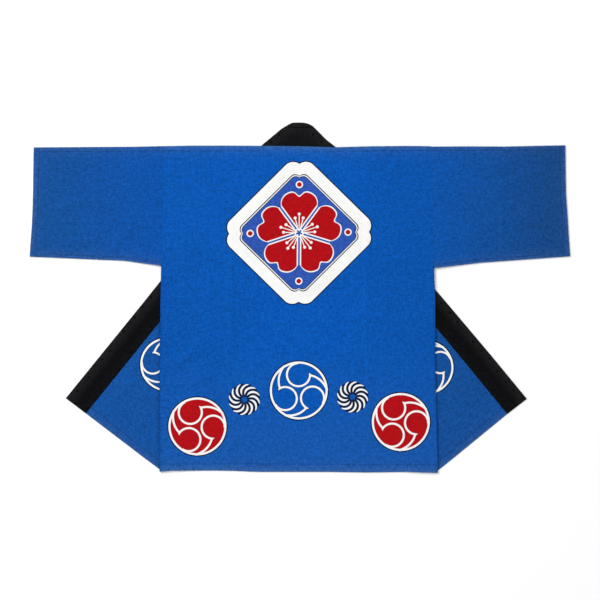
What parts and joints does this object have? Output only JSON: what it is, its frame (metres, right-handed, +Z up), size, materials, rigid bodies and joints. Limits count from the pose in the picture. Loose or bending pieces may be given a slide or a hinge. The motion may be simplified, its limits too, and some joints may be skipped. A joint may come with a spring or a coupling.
{
  "type": "happi coat",
  "caption": "Short open-fronted cotton festival coat with wide straight sleeves and a contrasting collar band, laid flat with its back up.",
  "frame": {"origin": "centre of the coat's bounding box, on the surface that it lies on", "axes": "+X along the sleeves to the right as seen from above, +Y towards the neck, +Z up out of the surface"},
  "size_m": [1.2474, 0.8092, 0.0068],
  "materials": {
    "blue_cotton": "matt bright blue plain-weave cotton with printed white and red motifs",
    "black_cotton": "matt black cotton collar band, doubled and topstitched"
  },
  "bodies": {
    "root": {"back": "blue_cotton", "front_left": "blue_cotton", "front_right": "blue_cotton", "sleeve_left_back": "blue_cotton", "sleeve_left_front": "blue_cotton", "sleeve_right_back": "blue_cotton", "sleeve_right_front": "blue_cotton", "collar": "black_cotton"}
  },
  "joints": []
}
